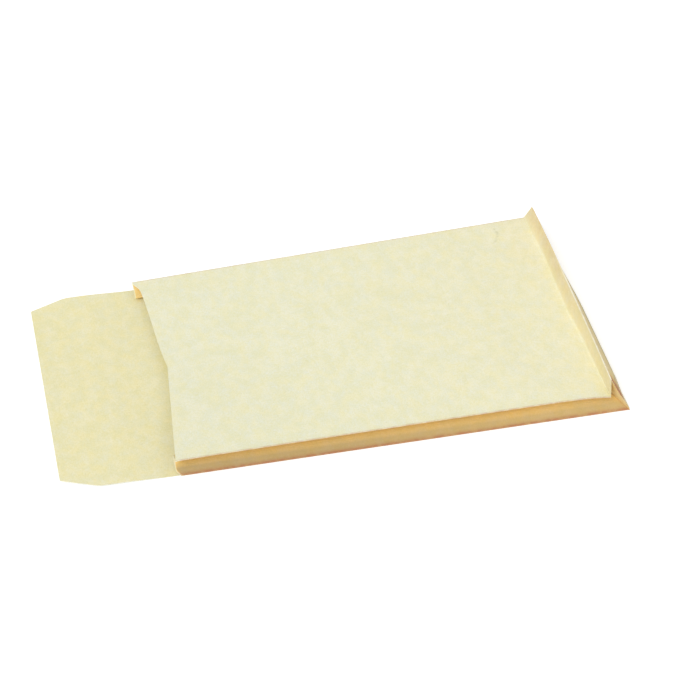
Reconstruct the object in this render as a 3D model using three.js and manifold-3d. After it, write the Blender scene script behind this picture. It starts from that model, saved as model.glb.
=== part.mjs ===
// A gusseted envelope lying open on its back: one sheet of manila paper, die cut, creased and glued.
// Millimetres, +Z up. X runs along the envelope: the open flap at -X, the folded bottom at +X.
// Y runs across it: the near long side at -Y. Z = 0 is the table under the back panel.

import * as THREE from 'three';
import { mergeVertices } from 'three/addons/utils/BufferGeometryUtils.js';
import Module from 'manifold-3d';

const wasm = await Module();
wasm.setup();

// Driving dimensions of the cut and folded sheet
const width = 262; // across the back panel, between its two long folds
const length = 371; // along the back panel, from the flap fold to the bottom fold
const gusset = 38; // full width of a side gusset, and of the bottom panel that it opens into
const paper = 0.3; // thickness of the sheet
const foldRadius = 0.22; // outside radius of a pressed fold
const flapLength = 95.2; // flap, from its fold to its free edge
const flapShoulder = 65; // straight stretch of the flap's sides, before they slant in
const flapInset = 13.8; // how far each end of the free edge lies inside the long sides
const flapClearance = 0.8; // the flap's straight sides are cut this far inside the long folds
const shoulderRadius = 14; // rounding where the flap's sides start to slant
const flapCornerRadius = 1.5; // rounding of the free edge's two ends
const mouthOverhang = 4; // the front panel's corners reach this far past the flap fold
const throatDepth = 12.5; // the V cut in the front panel's mouth edge, at its middle
const mouthRelief = 5; // slanted cut that frees each gusset from the flap fold
const seamLap = 15; // glued lap of the long seam, inside the front panel at the far side
const bottomLap = 26; // outer flap of the folded bottom, up from the bottom fold
const lapSlant = 12; // how far the outer flap narrows at each end

// How far this one stands open
const creaseBack = 17; // the front panel's last crease, back from the bottom fold
const apexBack = 14; // the inner end of each gusset's centre crease, back from the bottom fold
const nearEdgeBow = 3; // the front panel's near edge arches up towards its last crease
const throatSag = 2.2; // the middle of the mouth edge hangs a little
const near = { y: 0, inward: 1, mouthHeight: 15, endHeight: 15.5, bow: nearEdgeBow,
  ridgeBackLean: 27.7, ridgeSideLean: 0, apexHeight: 10.5 };
const far = { y: width, inward: -1, mouthHeight: 8, endHeight: 22, bow: 0,
  ridgeBackLean: 17.8, ridgeSideLean: 8.3, apexHeight: 12.5 };

// How finely the bent surfaces are divided
const stepsAlong = 16;
const stepsAcross = 12;
const rodSides = 6;
const curveSteps = 5;

const foldLift = foldRadius + 0.02; // height of the long folds' centre lines over the table
const strip = gusset / 2; // each gusset is two strips of this width, with the centre crease between

const point = (x, y, z) => new THREE.Vector3(x, y, z);
const mix = (a, b, share) => a.clone().lerp(b, share);
const { lerp, smoothstep, degToRad } = THREE.MathUtils;

// The crease network, one set of corners for each long side

function foldCorners(side) {
  const bottom = point(length, side.y, foldLift);
  const crease = point(length - creaseBack, side.y, side.endHeight);
  const back = degToRad(side.ridgeBackLean);
  const aside = degToRad(side.ridgeSideLean);
  const ridge = point(
    bottom.x - gusset * Math.sin(back) * Math.cos(aside),
    side.y + side.inward * gusset * Math.sin(aside),
    bottom.z + gusset * Math.cos(back) * Math.cos(aside));
  const apex = point(length - apexBack, side.y + side.inward * foldDepth(side.endHeight), side.apexHeight);
  return { bottom, crease, ridge, apex };
}

// How far the centre crease lies inside the long side, where the front panel stands at this height
function foldDepth(height) {
  return Math.sqrt(strip ** 2 - (height / 2) ** 2);
}

// Height of the front panel's long edge, at a share of the way from the mouth to the last crease
function edgeHeight(side, share) {
  const arch = Math.sqrt(share) * (1 - share ** 24);
  return lerp(side.mouthHeight, side.endHeight, share) + side.bow * arch;
}

const nearFolds = foldCorners(near);
const farFolds = foldCorners(far);

// Surfaces of the panels, each a function of two shares from 0 to 1

function frontSurface(along, across) {
  const cut = throatDepth * (1 - Math.abs(2 * across - 1));
  const x = lerp(cut - mouthOverhang, length - creaseBack, along);
  const share = (x + mouthOverhang) / (length - creaseBack + mouthOverhang);
  const level = lerp(edgeHeight(near, share), edgeHeight(far, share), across);
  const sag = throatSag * (1 - share) ** 2 * 4 * across * (1 - across);
  return point(x, width * across, level - sag);
}

// The ridge leans back over the front panel, more and more towards its near end
function ridgeLine(across) {
  const back = degToRad(lerp(far.ridgeBackLean, near.ridgeBackLean, (1 - across) ** 2));
  const aside = degToRad(lerp(near.ridgeSideLean, far.ridgeSideLean, across));
  const reach = gusset * Math.cos(aside);
  return point(
    length - reach * Math.sin(back),
    lerp(nearFolds.ridge.y, farFolds.ridge.y, across),
    foldLift + reach * Math.cos(back));
}

function finSurface(across, up) {
  return mix(frontSurface(1, across), ridgeLine(across), up);
}

function bottomSurface(across, up) {
  return mix(mix(nearFolds.bottom, farFolds.bottom, across), ridgeLine(across), up);
}

function backFold(side, along) {
  return point(length * along, side.y, foldLift);
}

function centreCrease(side, folds, along) {
  const height = edgeHeight(side, along);
  const settle = smoothstep(along, 0.75, 1);
  return point(
    lerp(-mouthOverhang, folds.apex.x, along),
    side.y + side.inward * foldDepth(height),
    height / 2 + (folds.apex.z - side.endHeight / 2) * settle);
}

function frontFold(side, along) {
  return frontSurface(along, side === near ? 0 : 1);
}

// Lists of shares that divide a surface

function evenSteps(count) {
  return Array.from({ length: count + 1 }, (_, i) => i / count);
}

// Even steps with one more mark, in place of any inner step that lies close to it
function stepsWith(mark, count) {
  const isEnd = (share) => share === 0 || share === 1;
  const kept = evenSteps(count).filter((share) => isEnd(share) || Math.abs(share - mark) > 0.4 / count);
  return [...kept, mark].sort((a, b) => a - b);
}

const alongSteps = evenSteps(stepsAlong);
const seamShare = 1 - seamLap / width;
const lapShare = bottomLap / gusset;

// Solids: a bent panel of even thickness, a rounded fold, and a knuckle where folds meet

function toSolid(geometry) {
  geometry.deleteAttribute('normal');
  geometry.deleteAttribute('uv');
  const merged = mergeVertices(geometry, 1e-5);
  return new wasm.Manifold(new wasm.Mesh({
    numProp: 3,
    vertProperties: new Float32Array(merged.attributes.position.array),
    triVerts: new Uint32Array(merged.index.array),
  }));
}

function toGeometry(solid) {
  const mesh = solid.getMesh();
  const geometry = new THREE.BufferGeometry();
  geometry.setAttribute('position', new THREE.BufferAttribute(new Float32Array(mesh.vertProperties), 3));
  geometry.setIndex(new THREE.BufferAttribute(new Uint32Array(mesh.triVerts), 1));
  geometry.computeVertexNormals();
  return geometry;
}

function indexedGeometry(points, triangles) {
  const geometry = new THREE.BufferGeometry();
  geometry.setAttribute('position', new THREE.Float32BufferAttribute(points.flatMap((p) => p.toArray()), 3));
  geometry.setIndex(triangles);
  return geometry;
}

function gridNormal(grid, i, j) {
  const before = grid[Math.max(i - 1, 0)][j];
  const after = grid[Math.min(i + 1, grid.length - 1)][j];
  const left = grid[i][Math.max(j - 1, 0)];
  const right = grid[i][Math.min(j + 1, grid[i].length - 1)];
  return after.clone().sub(before).cross(right.clone().sub(left)).normalize();
}

// Both faces of a sheet, as heights over its middle. A glued layer starts inside the sheet that it joins.
const singleLayer = [paper / 2, -paper / 2];
const gluedOutside = [paper * 1.5, 0];
const gluedInside = [0, -paper * 1.5];

// A grid of points on the middle of the sheet becomes a closed panel
function panel(grid, layers = singleLayer) {
  const rows = grid.length;
  const columns = grid[0].length;
  const layerSize = rows * columns;
  const points = layers.flatMap((height) => grid.flatMap((row, i) => row.map(
    (p, j) => p.clone().addScaledVector(gridNormal(grid, i, j), height))));
  const at = (layer, i, j) => layer * layerSize + i * columns + j;
  const triangles = [];
  const quad = (a, b, c, d) => triangles.push(a, b, c, a, c, d);
  for (let i = 0; i < rows - 1; i += 1) {
    for (let j = 0; j < columns - 1; j += 1) {
      quad(at(0, i, j), at(0, i + 1, j), at(0, i + 1, j + 1), at(0, i, j + 1));
      quad(at(1, i, j), at(1, i, j + 1), at(1, i + 1, j + 1), at(1, i + 1, j));
    }
  }
  for (let i = 0; i < rows - 1; i += 1) {
    quad(at(0, i, 0), at(1, i, 0), at(1, i + 1, 0), at(0, i + 1, 0));
    quad(at(0, i, columns - 1), at(0, i + 1, columns - 1), at(1, i + 1, columns - 1), at(1, i, columns - 1));
  }
  for (let j = 0; j < columns - 1; j += 1) {
    quad(at(0, 0, j), at(0, 0, j + 1), at(1, 0, j + 1), at(1, 0, j));
    quad(at(0, rows - 1, j), at(1, rows - 1, j), at(1, rows - 1, j + 1), at(0, rows - 1, j + 1));
  }
  return toSolid(indexedGeometry(points, triangles));
}

function surfacePanel(surface, rowShares, columnShares, layers = singleLayer) {
  return panel(rowShares.map((row) => columnShares.map((column) => surface(row, column))), layers);
}

function trianglePanel(a, b, c) {
  const lift = b.clone().sub(a).cross(c.clone().sub(a)).setLength(paper / 2);
  const corners = [a, b, c];
  const points = [...corners.map((p) => p.clone().add(lift)), ...corners.map((p) => p.clone().sub(lift))];
  const sides = [0, 1, 2].flatMap((i) => {
    const next = (i + 1) % 3;
    return [i, i + 3, next + 3, i, next + 3, next];
  });
  return toSolid(indexedGeometry(points, [0, 1, 2, 5, 4, 3, ...sides]));
}

// A pressed fold is a slim round bead along the line where two panels meet
function foldRod(points) {
  const rings = points.map((p, i) => {
    const along = points[Math.min(i + 1, points.length - 1)].clone()
      .sub(points[Math.max(i - 1, 0)]).normalize();
    const reference = Math.abs(along.z) > 0.8 ? point(1, 0, 0) : point(0, 0, 1);
    const sideways = reference.cross(along).normalize();
    const upward = along.clone().cross(sideways);
    return evenSteps(rodSides).slice(0, -1).map((turn) => p.clone()
      .addScaledVector(sideways, foldRadius * Math.cos(2 * Math.PI * turn))
      .addScaledVector(upward, foldRadius * Math.sin(2 * Math.PI * turn)));
  });
  const last = (rings.length - 1) * rodSides;
  const triangles = [];
  for (let i = 0; i < rings.length - 1; i += 1) {
    for (let j = 0; j < rodSides; j += 1) {
      const a = i * rodSides + j;
      const b = i * rodSides + (j + 1) % rodSides;
      triangles.push(a, b, b + rodSides, a, b + rodSides, a + rodSides);
    }
  }
  for (let j = 1; j < rodSides - 1; j += 1) {
    triangles.push(0, j + 1, j, last, last + j, last + j + 1);
  }
  return toSolid(indexedGeometry(rings.flat(), triangles));
}

function knuckle(centre) {
  const ball = new THREE.IcosahedronGeometry(foldRadius * 1.15, 0);
  ball.translate(centre.x, centre.y, centre.z);
  return toSolid(ball);
}

// The back panel with its flap, flat on the table: one outline with rounded shoulders
function backPanel() {
  const slant = Math.atan2(flapInset - flapClearance, flapLength - flapShoulder);
  const shoulderCut = shoulderRadius * Math.tan(slant / 2);
  const cornerCut = flapCornerRadius * Math.tan((Math.PI / 2 - slant) / 2);
  const slantX = Math.cos(slant);
  const slantY = Math.sin(slant);
  const outline = new THREE.Shape();
  outline.moveTo(length, 0);
  outline.lineTo(length, width);
  outline.lineTo(0, width);
  outline.lineTo(0, width - flapClearance);
  outline.lineTo(-flapShoulder + shoulderCut, width - flapClearance);
  outline.quadraticCurveTo(-flapShoulder, width - flapClearance,
    -flapShoulder - shoulderCut * slantX, width - flapClearance - shoulderCut * slantY);
  outline.lineTo(-flapLength + cornerCut * slantX, width - flapInset + cornerCut * slantY);
  outline.quadraticCurveTo(-flapLength, width - flapInset, -flapLength, width - flapInset - cornerCut);
  outline.lineTo(-flapLength, flapInset + cornerCut);
  outline.quadraticCurveTo(-flapLength, flapInset,
    -flapLength + cornerCut * slantX, flapInset - cornerCut * slantY);
  outline.lineTo(-flapShoulder - shoulderCut * slantX, flapClearance + shoulderCut * slantY);
  outline.quadraticCurveTo(-flapShoulder, flapClearance, -flapShoulder + shoulderCut, flapClearance);
  outline.lineTo(0, flapClearance);
  outline.lineTo(0, 0);
  outline.closePath();
  return toSolid(new THREE.ExtrudeGeometry(outline,
    { depth: paper, bevelEnabled: false, curveSegments: curveSteps }));
}

function frontPanel() {
  const acrossSteps = stepsWith(seamShare, stepsAcross);
  const lapSteps = [seamShare, 1];
  return [
    surfacePanel(frontSurface, alongSteps, acrossSteps),
    surfacePanel(frontSurface, alongSteps.slice(0, -1), lapSteps, gluedInside),
  ];
}

// One side gusset: two strips folded inward, their front ends cut free of the flap fold
function gussetPanels(side, folds) {
  const lower = alongSteps.map((along) => {
    const outer = backFold(side, along);
    const inner = centreCrease(side, folds, along);
    const relief = mix(outer, inner, mouthRelief / strip);
    if (along === 0) {
      relief.x = inner.x;
    }
    return [outer, relief, inner];
  });
  const upper = alongSteps.map((along) => [centreCrease(side, folds, along), frontFold(side, along)]);
  return [
    panel(lower),
    panel(upper),
    foldRod([backFold(side, 0), folds.bottom]),
    foldRod(alongSteps.map((along) => centreCrease(side, folds, along))),
    foldRod(alongSteps.map((along) => frontFold(side, along))),
  ];
}

// The bottom end of one gusset: two triangles that tuck in under the ridge
function cornerPanels({ bottom, crease, ridge, apex }) {
  const folds = [[apex, bottom], [apex, crease], [apex, ridge], [bottom, ridge], [crease, ridge]];
  return [
    trianglePanel(crease, ridge, apex),
    trianglePanel(bottom, ridge, apex),
    ...folds.map((ends) => foldRod(ends)),
    ...[bottom, crease, ridge, apex].map(knuckle),
  ];
}

// The bottom: a strip folded up from the front panel, the ridge, and the panel down to the back panel
function bottomPanels() {
  const acrossSteps = evenSteps(stepsAcross);
  const outerFlap = acrossSteps.map((across) => [bottomSurface(across, 0), bottomSurface(across, lapShare)]);
  const slantShare = lapSlant / width * stepsAcross;
  outerFlap.at(0)[1].lerp(outerFlap.at(1)[1], slantShare);
  outerFlap.at(-1)[1].lerp(outerFlap.at(-2)[1], slantShare);
  return [
    surfacePanel(finSurface, acrossSteps, [0, 1]),
    surfacePanel(bottomSurface, acrossSteps, [0, lapShare, 1]),
    panel(outerFlap, gluedOutside),
    foldRod(acrossSteps.map((across) => frontSurface(1, across))),
    foldRod(acrossSteps.map(ridgeLine)),
    foldRod([nearFolds.bottom, farFolds.bottom]),
  ];
}

const foldedSheet = [
  backPanel(),
  ...frontPanel(),
  ...gussetPanels(near, nearFolds),
  ...gussetPanels(far, farFolds),
  ...cornerPanels(nearFolds),
  ...cornerPanels(farFolds),
  ...bottomPanels(),
].reduce((whole, piece) => whole.add(piece));

const manila = new THREE.MeshStandardMaterial({ color: 0xece6bb, roughness: 0.85, metalness: 0 });
const sheet = new THREE.Mesh(toGeometry(foldedSheet), manila);
sheet.name = 'folded_sheet';

// The part's origin is under the middle of the whole sheet, on the table
const middle = new THREE.Box3().setFromObject(sheet).getCenter(new THREE.Vector3());
sheet.position.set(-middle.x, -middle.y, 0);

const envelope = new THREE.Group();
envelope.add(sheet);

export default envelope;
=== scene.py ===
# %% [markdown]
# A gusseted envelope, open on its back
#
# The real envelope is one sheet of manila paper. A machine cuts it out, presses the creases in, folds it
# round and glues its long seam and its bottom. It has no other parts, so this lesson makes one sheet too.
# Its bends are calculated in millimetres, a Geometry Nodes tree gives it the thickness of paper, and
# shader node groups give the paper its cloudy look and the painted light and shade along its folds.

# %% Load the imported envelope
import math

import bmesh
import bpy
import numpy as np
from mathutils import Matrix, Vector


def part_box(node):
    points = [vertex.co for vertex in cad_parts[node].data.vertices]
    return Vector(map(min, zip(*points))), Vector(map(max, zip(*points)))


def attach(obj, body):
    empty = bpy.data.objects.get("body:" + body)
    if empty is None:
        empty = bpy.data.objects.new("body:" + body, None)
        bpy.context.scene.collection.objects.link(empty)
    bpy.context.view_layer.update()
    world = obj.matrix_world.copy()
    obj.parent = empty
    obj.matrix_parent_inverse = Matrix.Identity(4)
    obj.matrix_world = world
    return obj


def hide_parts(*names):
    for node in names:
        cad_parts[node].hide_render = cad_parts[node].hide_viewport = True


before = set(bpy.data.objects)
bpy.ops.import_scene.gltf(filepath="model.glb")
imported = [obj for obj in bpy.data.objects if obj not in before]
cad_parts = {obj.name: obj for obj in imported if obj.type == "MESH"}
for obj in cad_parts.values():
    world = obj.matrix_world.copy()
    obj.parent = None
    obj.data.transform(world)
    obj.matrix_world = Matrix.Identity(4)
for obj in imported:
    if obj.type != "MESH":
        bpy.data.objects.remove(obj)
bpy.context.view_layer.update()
sheet_low, sheet_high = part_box("folded_sheet")
print("packed nodes:", sorted(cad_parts))

# %% [markdown]
# The sizes of the sheet
#
# A folding carton maker starts from a flat drawing with all crease lines on it. The same few numbers
# drive every panel here, so that neighbours always meet on the crease that they share. They are the sizes
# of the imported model, in millimetres. The drawing starts at the near end of the flap's fold.
#
# The two sides differ only in how they stand. For each, mouth and end are the front edge's heights at the
# mouth and at the last crease, and bow is how far that edge arches up between them. The ridge's end leans
# back and aside by so many degrees, and apex is the height of the gusset's innermost point.

# %% Sizes in millimetres
WIDTH = 262.0
LENGTH = 371.0
GUSSET = 38.0
STRIP = GUSSET / 2
PAPER = 0.3
FLAP_LENGTH = 95.2
FLAP_SHOULDER = 65.0
FLAP_INSET = 13.8
FLAP_CLEARANCE = 0.8
MOUTH_OVERHANG = 4.0
THROAT_DEPTH = 12.5
MOUTH_RELIEF = 5.0
SEAM_LAP = 15.0
BOTTOM_LAP = 26.0
LAP_SLANT = 12.0
CREASE_BACK = 17.0
APEX_BACK = 14.0
THROAT_SAG = 2.2
FAR_THROAT_BOW = 4.0
FOLD_LIFT = 0.24
LEVEL = PAPER / 2
FOLD_RADIUS = 0.3
TO_METRES = 0.001

SIDES = {
    "near": dict(y=0.0, inward=1.0, mouth=15.4, end=15.5, bow=3.2, back=27.7, aside=0.0, apex=10.5),
    "far": dict(y=WIDTH, inward=-1.0, mouth=8.0, end=22.0, bow=0.0, back=17.8, aside=8.3, apex=12.5),
}

start_x = sheet_low[0] / TO_METRES + FLAP_LENGTH
start_y = (sheet_low[1] + sheet_high[1]) / 2 / TO_METRES - WIDTH / 2
drawing_start = np.array([start_x, start_y, 0.0])
print("drawing starts at, mm:", drawing_start.round(2))


# %% [markdown]
# The crease lines
#
# Folded paper bends only at its creases, so the envelope's form is known once its crease lines are known.
# Each long side has a fold at the table, a centre crease that is pushed inwards and a fold at the front
# panel's edge. They run into a corner with four points. Writing them as functions keeps them exact.

# %% Crease lines as functions
def as_floats(values):
    return np.asarray(values, dtype=float)


def mix(a, b, share):
    return a + (b - a) * as_floats(share)


def smooth(value, low, high):
    """Climbs from 0 at low to 1 at high, gently at both ends."""
    t = np.clip((as_floats(value) - low) / (high - low), 0, 1)
    return t * t * (3 - 2 * t)


def points(x, y, z):
    return np.stack(np.broadcast_arrays(as_floats(x), as_floats(y), as_floats(z)), axis=-1)


def unit(vectors):
    return vectors / np.maximum(np.linalg.norm(vectors, axis=-1, keepdims=True), 1e-12)


def fold_depth(height):
    return np.sqrt(STRIP**2 - (height / 2) ** 2)


def edge_height(side, share):
    arch = np.sqrt(share) * (1 - share**24)
    return mix(side["mouth"], side["end"], share) + side["bow"] * arch


def corner_points(side):
    back, aside = math.radians(side["back"]), math.radians(side["aside"])
    ridge = points(
        LENGTH - GUSSET * math.sin(back) * math.cos(aside),
        side["y"] + side["inward"] * GUSSET * math.sin(aside),
        FOLD_LIFT + GUSSET * math.cos(back) * math.cos(aside),
    )
    depth = side["inward"] * fold_depth(side["end"])
    return dict(
        bottom=points(LENGTH, side["y"], LEVEL),
        crease=points(LENGTH - CREASE_BACK, side["y"], side["end"]),
        ridge=ridge,
        apex=points(LENGTH - APEX_BACK, side["y"] + depth, side["apex"]),
    )


CORNERS = {name: corner_points(side) for name, side in SIDES.items()}


def centre_crease(name, along):
    side, apex = SIDES[name], CORNERS[name]["apex"]
    height = edge_height(side, along)
    rise = (apex[2] - side["end"] / 2) * smooth(along, 0.75, 1)
    x = mix(-MOUTH_OVERHANG, apex[0], along)
    return points(x, side["y"] + side["inward"] * fold_depth(height), height / 2 + rise)


def ridge_line(across):
    near, far = SIDES["near"], SIDES["far"]
    back = np.radians(mix(far["back"], near["back"], (1 - across) ** 1.5))
    aside = np.radians(mix(near["aside"], far["aside"], across))
    y = mix(CORNERS["near"]["ridge"][1], CORNERS["far"]["ridge"][1], across)
    reach = GUSSET * np.cos(aside)
    return points(LENGTH - reach * np.sin(back), y, FOLD_LIFT + reach * np.cos(back))


def bump(value, middle, reach):
    """A soft hill that is 1 at its middle."""
    return np.exp(-(((value - middle) / reach) ** 2))


def last_crease_wander(y):
    at_ends = smooth(y, 0, 30) * smooth(WIDTH - y, 0, 30)
    return (bump(y, 200, 24) - 1.2 * bump(y, 125, 30)) * at_ends


print("near corner:", {name: p.round(1).tolist() for name, p in CORNERS["near"].items()})


# %% [markdown]
# The large panels
#
# The front panel hangs between four edges. Its mouth edge sags a little, and thin paper is never quite
# flat, so slow waves about half a millimetre high run over it. They fade out at its edges, because a fold
# is stiff. The waves come from a few fixed sines: the same sheet comes out each time. A dip lies in front
# of the last crease, and a fingertip has left a small dent near the far edge.

# %% Front panel surface
WAVE_HEIGHT = 0.28
DIP_DEPTH = 3.6
DIP_REACH = 70
DENT_DEPTH = 0.9
DENT_X, DENT_Y = 316, 236


def sheet_waves(x, y, height):
    slow = np.sin(x / 41 + 0.6) * np.sin(y / 37 + 1.1) + 0.6 * np.sin(x / 23 - y / 31 + 2.0)
    quick = 0.35 * np.sin(x / 13 + y / 19) * np.sin(y / 11 - 0.4)
    return height * (slow + quick)


def front_surface(along, across):
    from_far = WIDTH * (1 - across)
    bow = FAR_THROAT_BOW * smooth(from_far, 0, 14) * (1 - smooth(from_far, 14, 120))
    cut = THROAT_DEPTH * (1 - np.abs(2 * across - 1)) + bow
    x = mix(cut - MOUTH_OVERHANG, LENGTH - CREASE_BACK, along)
    share = (x + MOUTH_OVERHANG) / (LENGTH - CREASE_BACK + MOUTH_OVERHANG)
    y = WIDTH * across
    z = mix(edge_height(SIDES["near"], share), edge_height(SIDES["far"], share), across)
    z = z - THROAT_SAG * (1 - share) ** 2 * 4 * across * (1 - across)
    inside = smooth(y, 0, 40) * smooth(WIDTH - y, 0, 40)
    to_crease = LENGTH - CREASE_BACK - x
    z = z + sheet_waves(x, y, WAVE_HEIGHT) * inside * smooth(to_crease, 0, 50)
    dip = np.clip(1 - to_crease / DIP_REACH, 0, 1)
    z = z - DIP_DEPTH * dip * (1 - dip) * inside
    z = z - DENT_DEPTH * bump(x, DENT_X, 4.0) * bump(y, DENT_Y, 9.0)
    x = x + last_crease_wander(y) * smooth(share, 0.8, 1)
    return points(x, y, z)


def graded(length, step, first):
    """Shares from 0 to 1 whose steps are short at both ends and even between them."""
    marks, gap = [0.0], first
    while marks[-1] + gap < length / 2:
        marks.append(marks[-1] + gap)
        gap = min(gap * 1.35, step)
    half = as_floats(marks) / marks[-1] * 0.5
    return np.concatenate([half[:-1], 1 - half[::-1]])


RIDGE_REACH = 20.0
ALONG = graded(LENGTH, step=5.0, first=0.5)
ACROSS = graded(WIDTH, step=4.2, first=0.8)
INWARD = graded(STRIP, step=2.4, first=0.9)
RIDGE_UP = graded(RIDGE_REACH, step=2.2, first=0.5)
BOTTOM_UP = graded(GUSSET, step=3.0, first=0.8)
print("stations along, across, inward:", len(ALONG), len(ACROSS), len(INWARD))


# %% [markdown]
# Rounded folds
#
# A pressed fold in paper isn't a knife edge: the sheet runs round a bend about as tight as it is thick.
# Bevels would do that on a finished mesh, but they fail where three folds meet. Here each fold is made as
# a row of small arcs between its two panels. The arcs shrink to nothing at a corner, and each panel leans
# a little towards the end of its arcs.

# %% Arcs along a fold
ARC_STEPS = 6
LEAN_REACH = 7.0


def square_to(direction, vectors):
    return unit(vectors - (vectors * direction).sum(-1, keepdims=True) * direction)


def fold_arcs(line, toward_a, toward_b, radius):
    """Rows of points that round a fold, from the panel that lies toward a to the one toward b."""
    tangent = unit(np.gradient(line, axis=0))
    a, b = square_to(tangent, toward_a), square_to(tangent, toward_b)
    middle = unit(a + b)
    aside = square_to(middle, a)
    half = np.arccos(np.clip((a * middle).sum(-1), -1, 1))
    turn = np.linspace(1, -1, ARC_STEPS + 1)[:, None] * (np.pi / 2 - half)
    ray = aside * np.sin(turn)[..., None] - middle * np.cos(turn)[..., None]
    return line + radius[:, None] * (middle + ray)


def fold_size(distance_to_ends, reach=4.0):
    """The arcs' radius, which shrinks to nothing at a fold's ends."""
    return FOLD_RADIUS * np.sqrt(smooth(distance_to_ends, 0, reach))


def lean(distance):
    return np.clip(1 - distance / LEAN_REACH, 0, 1) ** 2


def long_folds(name):
    """The three long folds of one gusset, as arcs from the back panel round to the front panel."""
    inward = np.array([0.0, SIDES[name]["inward"], 0.0])
    table = points(LENGTH * ALONG, SIDES[name]["y"], LEVEL)
    centre = centre_crease(name, ALONG)
    front = front_surface(ALONG, np.full_like(ALONG, 0.0 if name == "near" else 1.0))
    to_end = LENGTH * (1 - ALONG)
    radius, table_radius = fold_size(to_end), fold_size(np.minimum(to_end, LENGTH - to_end))
    at_table = fold_arcs(table, inward + 0 * table, centre - table, table_radius)
    at_table[..., 2] += LEVEL - at_table[0, :, 2]
    return dict(
        table=table,
        centre=centre,
        front=front,
        at_table=at_table,
        at_centre=fold_arcs(centre, table - centre, front - centre, radius),
        at_front=fold_arcs(front, centre - front, inward + 0 * front, radius),
    )


FOLDS = {name: long_folds(name) for name in SIDES}


def arc_shifts(arcs, row, line):
    """How far one row of both sides' arcs lies from the creases that they round."""
    return [FOLDS[name][arcs][row] - FOLDS[name][line] for name in SIDES]


print("arcs of the near table fold start at z, mm:", FOLDS["near"]["at_table"][0, :3, 2].round(3))


# %% [markdown]
# Collecting the panels
#
# Every panel is a grid of points, with three values for each point: how brown the paper is painted there,
# how dark and how pale. Most of it is painted light and shade: brown where a face lies in shade, dark
# lines where folds and the table cast shade, pale where a face in shade is lit. Grids that share an edge
# have the same points on it, so they can be welded into one sheet.
#
# The tone runs from 0, cream, past tan and golden brown to 1, a duller brown. Tan and browner are painted
# shade.

# %% Grids and their values
VALUE_NAMES = ("tone", "painted_dark", "painted_pale")
TAN_TONE = 0.4
GOLDEN_TONE = 0.7
sheet_grids = []


def add_grid(place, tone=0.0, painted_dark=0.0, painted_pale=0.0, into=sheet_grids):
    shape = place.shape[:2]
    values = [np.broadcast_to(as_floats(v), shape) for v in (tone, painted_dark, painted_pale)]
    into.append((np.array(place), np.stack(values, axis=-1)))


def strip_tone(share, along):
    """Painted shade: golden brown, duller low down and towards the mouth; the first millimetre at the
    mouth stays cream as painted light.
    """
    low_down = 1 - smooth(share * STRIP, 6.0, 12.5)
    toward_mouth = 1 - smooth(along, 0.1, 0.9)
    duller = 0.24 * low_down + 0.07 * toward_mouth * low_down
    return (GOLDEN_TONE + duller) * smooth(along * LENGTH, 0.0, 1.2)


def leaning(grid, shift_at_start, shift_at_end, share, span):
    """Leans a grid's first and last columns towards the arcs of the folds that they meet."""
    grid = grid + shift_at_start[:, None] * lean(share * span)[..., None]
    return grid + shift_at_end[:, None] * lean((1 - share) * span)[..., None]


# %% [markdown]
# The side gussets
#
# A gusset is two strips that fold inwards, so the envelope can grow thick. A slanted cut frees its mouth
# end from the flap. Inside the fold the paper is painted golden brown: painted shade and warm bounce
# light, duller low down. The colour is a value on the points, so it stays on these panels and not at a
# place in space.

# %% Gusset strips
# How dark the fold at the table is painted: painted contact shade.
TABLE_SHADE = 0.8


def add_gusset(name):
    folds, share, along = FOLDS[name], INWARD[None, :], ALONG[:, None]
    cut_free = np.minimum(1, share * STRIP / MOUTH_RELIEF)
    slide = mix(cut_free, share, smooth(along, 0, 0.12))
    lower = mix(folds["table"][:, None], folds["centre"][:, None], share[..., None])
    lower[..., 0] = mix(folds["table"][:, None, 0], folds["centre"][:, None, 0], slide)
    table_shift = folds["at_table"][-1] - folds["table"]
    lower = leaning(lower, table_shift, folds["at_centre"][0] - folds["centre"], share, STRIP)
    # Painted shade: a dark line along the fold at the table, and darker over the gusset's last 2 mm.
    at_table = TABLE_SHADE * (1 - smooth(share * STRIP, 0.6, 3.4))
    at_end = 0.45 * (1 - smooth(LENGTH * (1 - along), 0, 2.0))
    add_grid(lower, strip_tone(share, along), np.maximum(at_table, at_end))

    upper = mix(folds["front"][:, None], folds["centre"][:, None], share[..., None])
    front_shift = folds["at_front"][0] - folds["front"]
    upper = leaning(upper, front_shift, folds["at_centre"][-1] - folds["centre"], share, STRIP)
    add_grid(upper, strip_tone(share, along))

    turn = np.linspace(0, 1, ARC_STEPS + 1)[:, None]
    # The fold arcs are painted brown as painted shade, with painted dark lines at the table and the front
    # edge.
    brown, painted_dark = strip_tone(0.0, ALONG)[None], smooth(ALONG * LENGTH, 1, 6)[None]
    add_grid(folds["at_table"], brown * smooth(turn, 0.2, 0.5), TABLE_SHADE * painted_dark)
    add_grid(folds["at_centre"], brown * 0.9)
    add_grid(folds["at_front"], brown * (1 - smooth(turn, 0.3, 0.8)), 0.5 * painted_dark)


for name in SIDES:
    add_gusset(name)
print("grids after the gussets:", len(sheet_grids))

# %% [markdown]
# Front panel, last crease and ridge
#
# The strip past the front panel's last crease belongs to the bottom, and stands up as a ridge. That crease
# was hardly pressed in its middle, so the paper turns softly there over 4 mm. One grid that runs on from
# the panel into the strip can bend gently, which two separate panels could not.

# %% Front panel with its standing strip
SOFT_CREASE = 2.3
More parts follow.
